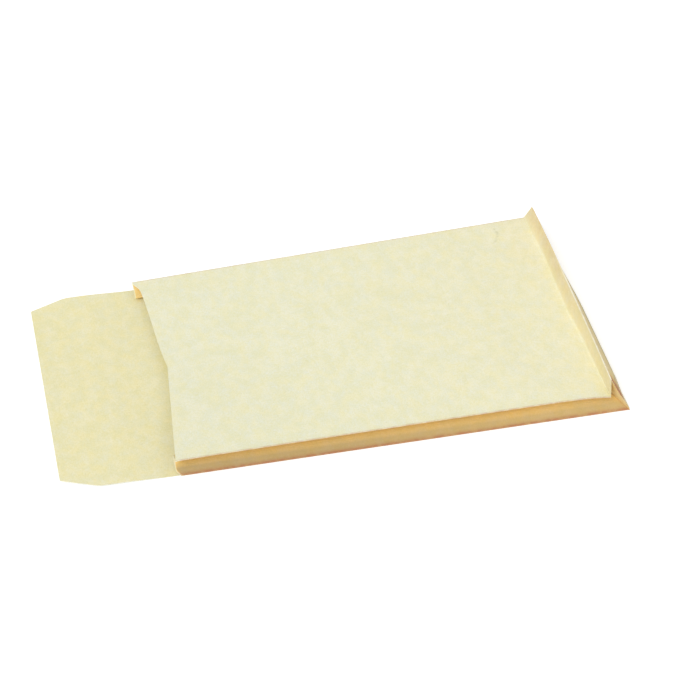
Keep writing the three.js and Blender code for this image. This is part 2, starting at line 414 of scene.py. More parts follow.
# How far the front panel is tinted warmer: painted bounce light and shade.
WARM_LIGHT_TINT = 0.07
across_mm = WIDTH * ACROSS
from_side = WIDTH * np.minimum(ACROSS, 1 - ACROSS)
crease_line = front_surface(np.ones_like(ACROSS), ACROSS)
ridge_points = ridge_line(ACROSS)
foot_line = points(LENGTH, across_mm, LEVEL)
end_radius = fold_size(from_side, 6.0)
at_ridge = fold_arcs(ridge_points, crease_line - ridge_points, foot_line - ridge_points, end_radius)
at_foot = fold_arcs(foot_line, ridge_points - foot_line, 0 * foot_line + [-1, 0, 0], end_radius)
at_foot[..., 2] += LEVEL - at_foot[-1, :, 2]


def standing_strip():
    strip = mix(crease_line[None], ridge_points[None], RIDGE_UP[:, None, None])
    height = np.linalg.norm(ridge_points - crease_line, axis=-1)
    strip += (at_ridge[0] - ridge_points)[None] * lean((1 - RIDGE_UP)[:, None] * height)[..., None]
    belly = 0.5 * np.sin(np.pi * RIDGE_UP)[:, None] * smooth(from_side, 0, 40)
    strip[..., 0] += belly * (0.6 + 0.4 * np.sin(across_mm / 33))
    return strip, height


def soften_crease(whole, crease_row):
    """Rounds the corner at one row of a grid with a parabola, widest midway between the sides."""
    sign = np.where(np.arange(len(whole)) < crease_row, -1, 1)[:, None]
    s = np.linalg.norm(whole - whole[crease_row], axis=-1) * sign
    arriving = unit(whole[crease_row] - whole[crease_row - 3])
    leaving = unit(whole[crease_row + 3] - whole[crease_row])
    width = SOFT_CREASE * smooth(from_side, 2, 40) + 1e-6
    shift = np.clip(width + s, 0, None) ** 2 / (4 * width) - np.clip(s, 0, None)
    shift = np.where(np.abs(s) < width, shift, 0)
    return whole + (leaving - arriving)[None] * shift[..., None]


def add_front():
    panel = front_surface(ALONG[:, None], ACROSS[None, :])
    near_shift, far_shift = arc_shifts("at_front", -1, "front")
    panel = leaning(panel, near_shift, far_shift, ACROSS[None, :], WIDTH)
    strip, height = standing_strip()
    whole = soften_crease(np.concatenate([panel, strip[1:]]), len(panel) - 1)
    up = np.concatenate([np.zeros(len(panel)), RIDGE_UP[1:]])[:, None] * height
    back = np.concatenate([(1 - ALONG) * (LENGTH - CREASE_BACK), np.zeros(len(RIDGE_UP) - 1)])[:, None]
    far_part, near_part = smooth(across_mm, 150, 250), 1 - smooth(across_mm, 150, 190)
    # Painted warm bounce light towards the last crease, and painted shade along the far edge.
    warm_light = smooth(LENGTH - back, 120, 350) + smooth(across_mm, WIDTH - 9, WIDTH - 4)
    warm_light = warm_light + smooth(LENGTH - back, 320, 360) * (0.4 + 0.8 * far_part)
    # The standing strip is painted tan, blending softly over the crease: painted shade.
    tone = TAN_TONE * smooth(up - back, -2.4, 3.4) + WARM_LIGHT_TINT * warm_light * (back > 0)
    # Painted shade: dark lines along the panel's side folds, and a darker far part of the standing strip.
    at_sides = 0.5 * (1 - smooth(across_mm, 0, 1.5)) + 0.3 * (1 - smooth(WIDTH - across_mm, 0, 1.3))
    painted_dark = at_sides * (back > 0) + 0.18 * smooth(up, 1, 12) * smooth(across_mm, 40, 200)
    # Paler just under the ridge on the near part: rubbed wear and a painted highlight.
    painted_pale = 0.6 * smooth(up, height - 1.4, height) * near_part
    add_grid(whole, tone, painted_dark, painted_pale)
    # The ridge's arcs: painted shade in tan, darker far on, and a pale painted highlight near on.
    add_grid(at_ridge, 0.45, 0.25 * far_part, 0.7 * near_part)
    return whole


front_grid = add_front()
print("front panel with its strip, rows and columns:", front_grid.shape[:2])

# %% [markdown]
# Bottom, corners and back
#
# The ridge leads down to the bottom panel, and a fold at the table leads on to the back panel and the open
# flap. The bottom panel bulges outwards by about two millimetres, so its face shows past the ridge. It is
# painted tan as painted shade, and paler just below the ridge as painted light. Where the outer flap
# leaves its ends bare, the panel is painted red-brown. At each side two triangles tuck in between the
# ridge and the gusset, as grids that narrow to one point, painted brown as painted shade. The flap lies
# nearly flat: past its fold it springs up by one or two millimetres.

# %% Bottom panel and corner triangles
BOTTOM_TONE = 0.52
EVEN_BELLY = 0.5
NEAR_BELLY = 1.9


def add_bottom():
    panel = mix(foot_line[None], ridge_points[None], BOTTOM_UP[:, None, None])
    panel += (at_foot[0] - foot_line)[None] * lean(BOTTOM_UP * GUSSET)[:, None, None]
    panel += (at_ridge[-1] - ridge_points)[None] * lean((1 - BOTTOM_UP) * GUSSET)[:, None, None]
    belly = EVEN_BELLY + NEAR_BELLY * (1 - smooth(across_mm, 0.42 * WIDTH, 0.72 * WIDTH))
    panel[..., 0] += np.sin(np.pi * BOTTOM_UP**1.4)[:, None] * belly * smooth(from_side, 0, 24)
    # Painted tan as painted shade, browner and red-brown at the bare ends, paler just below the ridge as
    # painted light.
    uncovered = 1 - smooth(from_side, 9.0, 14.0)
    above_foot = (BOTTOM_UP * GUSSET)[:, None]
    reddened = (1 - smooth(from_side, 6.0, 11.0)) * (1 - 0.6 * smooth(across_mm, 100, 160))
    reddened = reddened * (0.3 + 0.7 * smooth(above_foot, 4, 14))
    painted_pale = 0.4 * smooth(above_foot, GUSSET - 1.5, GUSSET)
    add_grid(panel, BOTTOM_TONE + 0.18 * uncovered, reddened, painted_pale * (1 - uncovered))
    # The foot's fold is painted tan and dark, as painted shade at the table.
    add_grid(at_foot, 0.4, 0.35)
    return panel


def add_corner(name):
    corner = CORNERS[name]
    # The triangles are painted shade: browner away from their edges, and dark along their folds.
    for foot, upwards, tone in (("crease", RIDGE_UP, 0.66), ("bottom", BOTTOM_UP, 0.58)):
        edge = mix(corner[foot], corner["ridge"], upwards[:, None])
        triangle = mix(edge[None], corner["apex"], INWARD[:, None, None])
        from_fold = upwards * GUSSET * (1 - INWARD[:, None])
        shaded_inside = mix(0.45, tone, smooth(INWARD * STRIP, 0, 1.5))[:, None]
        add_grid(triangle, shaded_inside, 0.2 * (1 - smooth(from_fold, 0, 2.0)))


bottom_grid = add_bottom()
for name in SIDES:
    add_corner(name)


# %% Back panel and flap
SHOULDER_RADIUS = 14.0
CORNER_RADIUS = 1.5
FLAP_SPRING = 1.3
EDGE_ROWS = [0, 0.05, 0.15, 0.35, 0.6, 0.9, 1.5, 2.5]


def flap_inset(from_edge):
    """How far the flap's end is cut in on each side, so many millimetres from its outer edge."""
    run, rise = FLAP_LENGTH - FLAP_SHOULDER, FLAP_INSET - FLAP_CLEARANCE
    slant = math.atan2(rise, run)
    shoulder = SHOULDER_RADIUS * math.tan(slant / 2)
    straight = rise * (1 - from_edge / run)
    soft = (shoulder + run - from_edge) ** 2 / (4 * shoulder) * rise / run
    inset = np.where(from_edge > run + shoulder, 0, soft)
    inset = np.where(from_edge < run - shoulder, straight, inset) + FLAP_CLEARANCE
    corner = CORNER_RADIUS * math.tan((math.pi / 2 - slant) / 2)
    turned = np.sqrt(np.clip(from_edge / (corner * math.cos(slant)), 0, 1))
    return np.where(turned < 1, inset + corner * (1 - turned) ** 2, inset)


def add_back_and_flap():
    from_edge = np.concatenate([EDGE_ROWS, np.arange(4, 94, 3.5), [FLAP_LENGTH - 0.5]])
    inset = flap_inset(from_edge)[:, None]
    y = inset + ACROSS[None, :] * (WIDTH - 2 * inset)
    out = FLAP_LENGTH - from_edge[:, None]
    lift = FLAP_SPRING * smooth(out, 4, 50) + 0.3 * smooth(out, 15, 95) * np.sin(y / 58 + 0.8)
    lift = lift + sheet_waves(out, y, 0.1) * smooth(out, 5, 60)
    flap = points(-out, y, LEVEL + np.maximum(lift, 0))
    back = points(LENGTH * ALONG[:, None], across_mm[None, :], LEVEL)
    near_shift, far_shift = arc_shifts("at_table", 0, "table")
    near_shift[:, 2] = far_shift[:, 2] = 0
    back = leaning(back, near_shift, far_shift, ACROSS[None, :], WIDTH)
    foot_shift = at_foot[-1] - foot_line
    back += foot_shift[None] * lean(LENGTH * (1 - ALONG))[:, None, None]
    add_grid(np.concatenate([flap, back]), 0.0)
    return len(from_edge)


flap_rows = add_back_and_flap()
print("grids in the sheet:", len(sheet_grids), "with flap rows:", flap_rows)

# %% [markdown]
# Two glued laps
#
# Where the sheet is glued to itself there are two layers: the long seam's lap inside the front panel, and
# the outer flap on the bottom. Each is a strip of the panel that it is glued to, moved off it by one
# thickness of paper, so it follows that panel's bends exactly.

# %% Seam lap and outer bottom flap
LAP_GAP = 0.97 * PAPER
LAP_SPRING = 0.2
LAP_TONE = 0.48
lap_grids = []


def grid_normals(grid):
    return unit(np.cross(np.gradient(grid, axis=0), np.gradient(grid, axis=1)))


def add_seam_lap():
    rows = ALONG < 0.94
    columns = (across_mm > WIDTH - SEAM_LAP - 1.5) & (across_mm < WIDTH - 0.7)
    layer = front_grid[: len(ALONG)][rows][:, columns]
    normals = grid_normals(layer)
    inward = -normals * np.sign(normals[..., 2:])
    add_grid(layer + inward * LAP_GAP, into=lap_grids)


def add_outer_flap():
    heights = BOTTOM_UP * GUSSET
    rows = np.flatnonzero((heights > 0.3) & (heights < BOTTOM_LAP + 1.2))
    layer = []
    for row in rows:
        inset = 0.6 + LAP_SLANT * heights[row] / BOTTOM_LAP
        y = np.linspace(inset, WIDTH - inset, len(ACROSS))
        old_y = bottom_grid[row, :, 1]
        layer.append(np.stack([np.interp(y, old_y, bottom_grid[row, :, k]) for k in range(3)], axis=-1))
    layer, height = np.array(layer), heights[rows][:, None]
    normals = grid_normals(layer)
    y = layer[..., 1]
    springs_off = LAP_SPRING * smooth(height, 8, 27) * (1 - smooth(y, 0.45 * WIDTH, 0.8 * WIDTH))
    outward = normals * np.sign(normals[..., :1]) * (LAP_GAP + springs_off)[..., None]
    # The lap is painted tan as painted shade and paler all over as painted light; its near end is painted
    # red-brown.
    near_end = (1 - smooth(y - y[:, :1], 2, 7)) * (1 - smooth(y, 100, 160))
    reddened = 0.45 * near_end * smooth(height, 8, 13)
    add_grid(layer + outward, LAP_TONE, reddened, 0.2 * (1 - reddened), into=lap_grids)


add_seam_lap()
add_outer_flap()
print("lap sizes, rows and columns:", [grid.shape[:2] for grid, _ in lap_grids])


# %% [markdown]
# Welding the sheet
#
# All grids become one mesh, and points in the same place are merged. What comes out has no thickness yet.
# Each point also gets a mitre: the step that lies one unit outside every face that meets there. With it,
# the thick sheet stays equally thick on both sides of a fold, as a picture frame's corners do.

# %% Weld and mitre
WELD = 2e-6
MITRE_LIMIT = 2.4
MITRE_SOFTENING = 0.004


def weld(grids, how_high):
    """Joins the grids and turns the faces outwards, so that the face that how_high likes best looks up."""
    bm = bmesh.new()
    layers = [bm.verts.layers.float.new(name) for name in VALUE_NAMES]
    for place, values in grids:
        places = (place + drawing_start) * TO_METRES
        rows, columns = place.shape[:2]
        verts = [bm.verts.new(p) for p in places.reshape(-1, 3).tolist()]
        for vert, value in zip(verts, values.reshape(-1, 3).tolist()):
            for layer, number in zip(layers, value):
                vert[layer] = number
        for i in range(rows - 1):
            for j in range(columns - 1):
                a = i * columns + j
                bm.faces.new((verts[a], verts[a + 1], verts[a + columns + 1], verts[a + columns]))
    bmesh.ops.remove_doubles(bm, verts=bm.verts, dist=WELD)
    bmesh.ops.dissolve_degenerate(bm, edges=bm.edges, dist=WELD)
    bmesh.ops.recalc_face_normals(bm, faces=bm.faces)
    top = max(bm.faces, key=lambda face: how_high(face.calc_center_median()))
    top.normal_update()
    if top.normal.z < 0:
        bmesh.ops.reverse_faces(bm, faces=bm.faces)
    return bm


def mitres(bm):
    bm.verts.index_update()
    total = len(bm.verts)
    weight = np.zeros(total)
    spread = np.zeros((total, 3, 3))
    push = np.zeros((total, 3))
    for face in bm.faces:
        normal = np.array(face.normal)
        both = np.outer(normal, normal)
        for loop in face.loops:
            angle = loop.calc_angle()
            i = loop.vert.index
            weight[i] += angle
            spread[i] += angle * both
            push[i] += angle * normal
    spread += (MITRE_SOFTENING * weight + 1e-9)[:, None, None] * np.eye(3)
    step = np.linalg.solve(spread, push[..., None])[..., 0]
    length = np.linalg.norm(step, axis=-1, keepdims=True)
    return step * np.minimum(1, MITRE_LIMIT / np.maximum(length, 1e-9))


def flat_sheet(name, grids, how_high):
    bm = weld(grids, how_high)
    mitre_steps = mitres(bm)
    mesh = bpy.data.meshes.new(name)
    bm.to_mesh(mesh)
    open_edges = sum(1 for edge in bm.edges if len(edge.link_faces) == 1)
    odd_edges = sum(1 for edge in bm.edges if len(edge.link_faces) > 2)
    bm.free()
    attribute = mesh.attributes.new("mitre", "FLOAT_VECTOR", "POINT")
    attribute.data.foreach_set("vector", mitre_steps.astype(np.float32).ravel())
    made = bpy.data.objects.new(name, mesh)
    bpy.context.scene.collection.objects.link(made)
    print(name, "faces", len(mesh.polygons), "open edges", open_edges, "three-faced edges", odd_edges)
    return made


def middle_of_front(centre):
    x, y = centre.x / TO_METRES - start_x, centre.y / TO_METRES - start_y
    return centre.z - 0.001 * abs(x - LENGTH / 2) - 0.001 * abs(y - WIDTH / 2)


folded = flat_sheet("manila_sheet", sheet_grids, middle_of_front)
laps = [flat_sheet(f"lap_{i}", [grid], lambda centre: centre.z) for i, grid in enumerate(lap_grids)]

# %% [markdown]
# Shader groups
#
# Three effects are used by more than one material. Paper formation is the cloudiness of pulp: fibres
# settle unevenly, with a few darker shives among them. Fold marks lay the painted dark and pale values on
# the paper, never evenly: mostly painted shade in folds and painted light on faces in shade, with some
# rubbed wear. Finger dent paints the shade of the curved line that a fingertip pressed into thin paper.
# Groups give only masks and heights. Each material mixes its own colours with them.

# %% Node helpers
def add_node(tree, kind, **settings):
    made = tree.nodes.new(kind)
    for key, value in settings.items():
        setattr(made, key, value)
    return made


def feed(tree, target, value):
    """Sets a socket to a number or colour, or links another node's output to it."""
    if hasattr(value, "is_output"):
        tree.links.new(value, target)
    else:
        target.default_value = value


def calculate(tree, operation, *values, clamp=False):
    made = add_node(tree, "ShaderNodeMath", operation=operation, use_clamp=clamp)
    for socket, value in zip(made.inputs, values):
        feed(tree, socket, value)
    return made.outputs[0]


def noise(tree, place, scale, detail=3.0, roughness=0.5):
    made = add_node(tree, "ShaderNodeTexNoise")
    feed(tree, made.inputs["Vector"], place)
    feed(tree, made.inputs["Scale"], scale)
    feed(tree, made.inputs["Detail"], detail)
    feed(tree, made.inputs["Roughness"], roughness)
    return made.outputs["Fac"]


def between(tree, value, low, high, to_low=0.0, to_high=1.0):
    made = add_node(tree, "ShaderNodeMapRange", interpolation_type="SMOOTHSTEP")
    for socket, number in zip(made.inputs, (value, low, high, to_low, to_high)):
        feed(tree, socket, number)
    return made.outputs[0]


def stretched(tree, place, scale):
    made = add_node(tree, "ShaderNodeVectorMath", operation="MULTIPLY")
    feed(tree, made.inputs[0], place)
    feed(tree, made.inputs[1], scale)
    return made.outputs[0]


def blend(tree, share, first, second, how="MIX"):
    made = add_node(tree, "ShaderNodeMix", data_type="RGBA", blend_type=how)
    feed(tree, made.inputs[0], share)
    feed(tree, made.inputs[6], first)
    feed(tree, made.inputs[7], second)
    return made.outputs[2]


def new_group(title, inputs, outputs):
    tree = bpy.data.node_groups.new(title, "ShaderNodeTree")
    for name, kind, value in inputs:
        socket = tree.interface.new_socket(name, in_out="INPUT", socket_type=kind)
        if value is not None:
            socket.default_value = value
    for name in outputs:
        tree.interface.new_socket(name, in_out="OUTPUT", socket_type="NodeSocketFloat")
    return tree, add_node(tree, "NodeGroupInput").outputs, add_node(tree, "NodeGroupOutput").inputs


# %% Paper formation
def paper_formation():
    tree, given, out = new_group(
        "Paper formation",
        [("Place", "NodeSocketVector", None), ("Cloud size", "NodeSocketFloat", 9.0),
         ("Grain size", "NodeSocketFloat", 1.1), ("Fibre length", "NodeSocketFloat", 3.5)],
        ["Cloud", "Mottle", "Grain", "Fibre", "Shive", "Height"],
    )
    place = given["Place"]
    along_machine = stretched(tree, place, (1.0, 0.6, 1.0))
    cloud = noise(tree, along_machine, calculate(tree, "DIVIDE", 1.0, given["Cloud size"]), 5.0, 0.68)
    mottle = noise(tree, stretched(tree, place, (0.10, 0.08, 0.10)), 1.0, 6.0, 0.68)
    grain_scale = calculate(tree, "DIVIDE", 1.0, given["Grain size"])
    grain = noise(tree, along_machine, grain_scale, 2.0, 0.6)
    fibre_scale = calculate(tree, "DIVIDE", 1.0, given["Fibre length"])
    lengthwise = noise(tree, stretched(tree, place, (1.0, 7.0, 4.0)), fibre_scale, 2.0, 0.55)
    crosswise = noise(tree, stretched(tree, place, (7.0, 1.0, 1.3)), fibre_scale, 2.0, 0.55)
    fibre = calculate(tree, "MULTIPLY", calculate(tree, "ADD", lengthwise, crosswise), 0.5)
    winding = noise(tree, stretched(tree, place, (0.5, 1.6, 1.6)), 0.55, 1.0, 0.4)
    off_line = calculate(tree, "ABSOLUTE", calculate(tree, "SUBTRACT", winding, 0.5))
    rare = between(tree, noise(tree, place, 0.31, 2.0), 0.60, 0.66)
    shive = calculate(tree, "MULTIPLY", between(tree, off_line, 0.0, 0.012, 1.0, 0.0), rare)
    low_relief = calculate(tree, "MULTIPLY", grain, 0.6)
    height = calculate(tree, "ADD", low_relief, calculate(tree, "MULTIPLY", fibre, 0.8))
    for socket, value in zip(out, (cloud, mottle, grain, fibre, shive, height)):
        tree.links.new(value, socket)
    return tree


# %% Fold marks: painted shade and light along folds, with some wear
def fold_marks():
    tree, given, out = new_group(
        "Fold marks",
        [("Place", "NodeSocketVector", None), ("Pressed", "NodeSocketFloat", 0.0),
         ("Rubbed", "NodeSocketFloat", 0.0), ("Unevenness", "NodeSocketFloat", 0.5)],
        ["Dark line", "Pale line"],
    )
    # The dark and pale values are mostly painted shade and painted light; noise leaves them patchy.
    patchy = noise(tree, given["Place"], 0.16, 3.0, 0.6)
    keep = calculate(tree, "MULTIPLY", between(tree, patchy, 0.35, 0.6, 1.0, 0.0), given["Unevenness"])
    keep = calculate(tree, "SUBTRACT", 1.0, keep)
    for name, source in (("Dark line", "Pressed"), ("Pale line", "Rubbed")):
        tree.links.new(calculate(tree, "MULTIPLY", given[source], keep, clamp=True), out[name])
    return tree


# %% Finger dent
def finger_dent():
    tree, given, out = new_group(
        "Finger dent",
        [("Place", "NodeSocketVector", None), ("Centre", "NodeSocketVector", None),
         ("Radius", "NodeSocketFloat", 17.9), ("Width", "NodeSocketFloat", 2.2)],
        ["Mark"],
    )
    away = add_node(tree, "ShaderNodeVectorMath", operation="SUBTRACT")
    feed(tree, away.inputs[0], given["Place"])
    feed(tree, away.inputs[1], given["Centre"])
    parts = add_node(tree, "ShaderNodeSeparateXYZ")
    feed(tree, parts.inputs[0], away.outputs[0])
    x, y, z = parts.outputs
    squares = [calculate(tree, "POWER", part, 2.0) for part in (x, y)]
    span = calculate(tree, "SQRT", calculate(tree, "ADD", *squares))
    off_line = calculate(tree, "ABSOLUTE", calculate(tree, "SUBTRACT", span, given["Radius"]))
    # The mark is painted shade: a grey line where the dent's slope would be shaded.
    mark = between(tree, off_line, 0.0, given["Width"], 1.0, 0.0)
    limits = (
        between(tree, x, 8.0, 12.0),
        between(tree, y, -15.5, -13.0),
        between(tree, y, 7.0, 11.0, 1.0, 0.0),
        between(tree, calculate(tree, "ABSOLUTE", z), 5.0, 8.0, 1.0, 0.0),
        between(tree, noise(tree, given["Place"], 0.35, 1.0), 0.38, 0.6, 0.2, 1.0),
    )
    for limit in limits:
        mark = calculate(tree, "MULTIPLY", mark, limit)
    tree.links.new(mark, out["Mark"])
    return tree


FORMATION = paper_formation()
FOLD_MARKS = fold_marks()
DENT = finger_dent()
print("shader groups:", [group.name for group in (FORMATION, FOLD_MARKS, DENT)])

# %% [markdown]
# The paper's materials
#
# Manila is unbleached pulp: matt, cream, a little yellower on the face that was never handled. Tan on the
# standing strip and golden brown in the gussets are painted shade on the same paper. The outside, the
# inside and the cut edge get materials of their own from one recipe, because only their colours and
# contrast differ.
# Each mask of the pulp tints the paper a little where it is strong.

# %% Colours, as linear values
CREAM = (0.845, 0.828, 0.615, 1)
INSIDE_CREAM = (0.860, 0.808, 0.522, 1)
# The next three colours are painted shade: the cream paper as it looks where it lies in shade.
TAN = (0.815, 0.722, 0.460, 1)
GOLDEN = (0.865, 0.622, 0.245, 1)
DULL_GOLDEN = (0.525, 0.395, 0.190, 1)
# The next two paint dark lines of shade at folds and the red-brown ends, and pale painted light on faces
# in shade.
DARK_LINE_BROWN = (0.430, 0.168, 0.085, 1)
PALE_LINE_CREAM = (0.900, 0.880, 0.780, 1)
SHIVE_BROWN = (0.520, 0.400, 0.210, 1)
FIBRE_WHITE = (0.900, 0.870, 0.700, 1)
DENT_SHADE = (0.300, 0.300, 0.220, 1)
DENT_CENTRE = (168.4, 115.0, 21.0)
PULP_TINTS = (
    ("Cloud", 0.35, 0.65, (0.995, 0.975, 0.860, 1)),
    ("Mottle", 0.38, 0.62, (0.950, 0.972, 1.000, 1)),
    ("Grain", 0.38, 0.68, (0.965, 0.955, 0.870, 1)),
    ("Fibre", 0.45, 0.62, (1.030, 1.035, 1.150, 1)),
)


def value_of(tree, name):
    return add_node(tree, "ShaderNodeAttribute", attribute_name=name).outputs["Fac"]


def tone_ramp(tree, tone, colours):
    made = add_node(tree, "ShaderNodeValToRGB")
    feed(tree, made.inputs[0], tone)
    ramp = made.color_ramp
    ramp.elements[0].color, ramp.elements[1].color = colours[0], colours[3]
    ramp.elements.new(TAN_TONE).color = colours[1]
    ramp.elements.new(GOLDEN_TONE).color = colours[2]
    return made.outputs[0]


def place_in_millimetres(tree):
    coordinates = add_node(tree, "ShaderNodeTexCoord").outputs["Object"]
    return stretched(tree, coordinates, (1000.0, 1000.0, 1000.0))


def use_group(tree, group, **values):
    made = add_node(tree, "ShaderNodeGroup", node_tree=group)
    for name, value in values.items():
        feed(tree, made.inputs[name.replace("_", " ")], value)
    return made.outputs


def paper_material(title, colours, contrast, roughness, relief):
    material = bpy.data.materials.new(title)
    material.use_nodes = True
    tree = material.node_tree
    tree.nodes.clear()
    place = place_in_millimetres(tree)
    pulp = use_group(tree, FORMATION, Place=place)
    painted_dark, painted_pale = value_of(tree, "painted_dark"), value_of(tree, "painted_pale")
    marked = use_group(tree, FOLD_MARKS, Place=place, Pressed=painted_dark, Rubbed=painted_pale)
    dented = use_group(tree, DENT, Place=place, Centre=DENT_CENTRE)
    colour = tone_ramp(tree, value_of(tree, "tone"), colours)
    for mask, low, high, tint in PULP_TINTS:
        tinted = blend(tree, 1.0, colour, tint, "MULTIPLY")
        colour = blend(tree, between(tree, pulp[mask], low, high, 0.0, contrast), colour, tinted)
    # Shives are the pulp's own; the dent's line is painted shade.
    marks = (
        (pulp["Shive"], 0.35 * contrast, SHIVE_BROWN),
        (dented["Mark"], 0.2, DENT_SHADE),
    )
    for mark, share, shade in marks:
        colour = blend(tree, calculate(tree, "MULTIPLY", mark, share), colour, shade)
    # Dark and pale lines: mostly painted shade and painted light, and the red-brown at the bottom's bare
    # ends.
    colour = blend(tree, marked["Dark line"], colour, DARK_LINE_BROWN)
    colour = blend(tree, marked["Pale line"], colour, PALE_LINE_CREAM)
    shader = add_node(tree, "ShaderNodeBsdfPrincipled")
    feed(tree, shader.inputs["Base Color"], colour)
    rough = between(tree, pulp["Grain"], 0.3, 0.7, roughness + 0.05, roughness - 0.06)
    feed(tree, shader.inputs["Roughness"], rough)
    shader.inputs["Specular IOR Level"].default_value = 0.28
    shader.inputs["IOR"].default_value = 1.5
    bump_node = add_node(tree, "ShaderNodeBump")
    bump_node.inputs["Strength"].default_value = relief
    bump_node.inputs["Distance"].default_value = 0.0001
    feed(tree, bump_node.inputs["Height"], pulp["Height"])
    feed(tree, shader.inputs["Normal"], bump_node.outputs[0])
    output = add_node(tree, "ShaderNodeOutputMaterial")
    tree.links.new(shader.outputs[0], output.inputs["Surface"])
    return material


OUTSIDE_COLOURS = (CREAM, TAN, GOLDEN, DULL_GOLDEN)
INSIDE_COLOURS = (INSIDE_CREAM, INSIDE_CREAM, GOLDEN, GOLDEN)
EDGE_COLOURS = (FIBRE_WHITE, CREAM, CREAM, TAN)
outside_paper = paper_material("manila_outside", OUTSIDE_COLOURS, contrast=1.0, roughness=0.80, relief=0.5)
inside_paper = paper_material("manila_inside", INSIDE_COLOURS, contrast=1.1, roughness=0.84, relief=0.6)
cut_edge = paper_material("manila_cut_edge", EDGE_COLOURS, contrast=0.6, roughness=0.92, relief=0.8)
print("materials:", [m.name for m in (outside_paper, inside_paper, cut_edge)])

# %% [markdown]
# The thickness of paper
#
# Solidify could thicken the sheet, but it makes spikes at folds this sharp. A Geometry Nodes tree does it
# by the mitres instead. It moves one copy half a thickness out and a flipped copy half a thickness in, and
# walks round the open edges to close the cut edge. Then it gives each kind of face its material.

# %% Thickness tree
OUTSIDE_FACE, INSIDE_FACE, EDGE_FACE = 0.0, 1.0, 2.0


def thickness_tree():
    tree = bpy.data.node_groups.new("Paper thickness", "GeometryNodeTree")
    for name, kind in (("Sheet", "NodeSocketGeometry"), ("Thickness", "NodeSocketFloat"),
                       ("Outside", "NodeSocketMaterial"), ("Inside", "NodeSocketMaterial"),
                       ("Cut edge", "NodeSocketMaterial")):
        tree.interface.new_socket(name, in_out="INPUT", socket_type=kind)
    tree.interface.new_socket("Sheet", in_out="OUTPUT", socket_type="NodeSocketGeometry")
    given = add_node(tree, "NodeGroupInput").outputs
    out = add_node(tree, "NodeGroupOutput").inputs
    mitre = add_node(tree, "GeometryNodeInputNamedAttribute", data_type="FLOAT_VECTOR")
    mitre.inputs["Name"].default_value = "mitre"

    def moved(geometry, share):
        step = add_node(tree, "ShaderNodeVectorMath", operation="SCALE")
        feed(tree, step.inputs[0], mitre.outputs["Attribute"])
        feed(tree, step.inputs["Scale"], calculate(tree, "MULTIPLY", given["Thickness"], share))
        move = add_node(tree, "GeometryNodeSetPosition")
        feed(tree, move.inputs["Geometry"], geometry)
        feed(tree, move.inputs["Offset"], step.outputs[0])
        return move.outputs["Geometry"]

    def of_kind(geometry, kind):
        store = add_node(tree, "GeometryNodeStoreNamedAttribute", data_type="FLOAT", domain="FACE")
        feed(tree, store.inputs["Geometry"], geometry)
        store.inputs["Name"].default_value = "paper_face"
        store.inputs["Value"].default_value = kind
        return store.outputs["Geometry"]

    outer = of_kind(moved(given["Sheet"], 0.5), OUTSIDE_FACE)
    flipped = add_node(tree, "GeometryNodeFlipFaces")
    feed(tree, flipped.inputs["Mesh"], moved(given["Sheet"], -0.5))
    inner = of_kind(flipped.outputs["Mesh"], INSIDE_FACE)

    neighbours = add_node(tree, "GeometryNodeInputMeshEdgeNeighbors")
    is_open = add_node(tree, "FunctionNodeCompare", data_type="INT", operation="EQUAL")
    tree.links.new(neighbours.outputs["Face Count"], is_open.inputs[2])
    is_open.inputs[3].default_value = 1
    rim = add_node(tree, "GeometryNodeExtrudeMesh", mode="EDGES")
    feed(tree, rim.inputs["Mesh"], given["Sheet"])
    feed(tree, rim.inputs["Selection"], is_open.outputs[0])
    rim.inputs["Offset Scale"].default_value = 0.0
    side_share = calculate(tree, "SUBTRACT", 0.5, rim.outputs["Top"])
    rim_only = add_node(tree, "GeometryNodeSeparateGeometry", domain="FACE")
    feed(tree, rim_only.inputs["Geometry"], moved(rim.outputs["Mesh"], side_share))
    feed(tree, rim_only.inputs["Selection"], rim.outputs["Side"])
    edge = of_kind(rim_only.outputs["Selection"], EDGE_FACE)

    join = add_node(tree, "GeometryNodeJoinGeometry")
    for geometry in (outer, inner, edge):
        tree.links.new(geometry, join.inputs[0])
    merge = add_node(tree, "GeometryNodeMergeByDistance")
    feed(tree, merge.inputs["Geometry"], join.outputs[0])
    merge.inputs["Distance"].default_value = 1e-6
    realize = add_node(tree, "GeometryNodeRealizeInstances")
    feed(tree, realize.inputs[0], merge.outputs[0])
    current = realize.outputs[0]
    kind_here = add_node(tree, "GeometryNodeInputNamedAttribute", data_type="FLOAT")
    kind_here.inputs["Name"].default_value = "paper_face"
    for kind, name in ((OUTSIDE_FACE, "Outside"), (INSIDE_FACE, "Inside"), (EDGE_FACE, "Cut edge")):
        chosen = calculate(tree, "GREATER_THAN", kind_here.outputs["Attribute"], kind - 0.5)
        paint = add_node(tree, "GeometryNodeSetMaterial")
        feed(tree, paint.inputs["Geometry"], current)
        feed(tree, paint.inputs["Selection"], chosen)
        feed(tree, paint.inputs["Material"], given[name])
        current = paint.outputs[0]
    tree.links.new(current, out[0])
    return tree


THICKNESS_TREE = thickness_tree()


def thickened(source):
    modifier = source.modifiers.new("Paper thickness", "NODES")
    modifier.node_group = THICKNESS_TREE
    given = [item for item in THICKNESS_TREE.interface.items_tree if item.in_out == "INPUT"]
    sockets = {item.name: item.identifier for item in given}
    modifier[sockets["Thickness"]] = PAPER * TO_METRES
    modifier[sockets["Outside"]] = outside_paper
    modifier[sockets["Inside"]] = inside_paper
    modifier[sockets["Cut edge"]] = cut_edge
    graph = bpy.context.evaluated_depsgraph_get()
    mesh = bpy.data.meshes.new_from_object(source.evaluated_get(graph))
    source.modifiers.remove(modifier)
    return mesh


# %% Thicken, join and check
SHARP_ANGLE = math.radians(42)
PAPERS = (outside_paper, inside_paper, cut_edge)


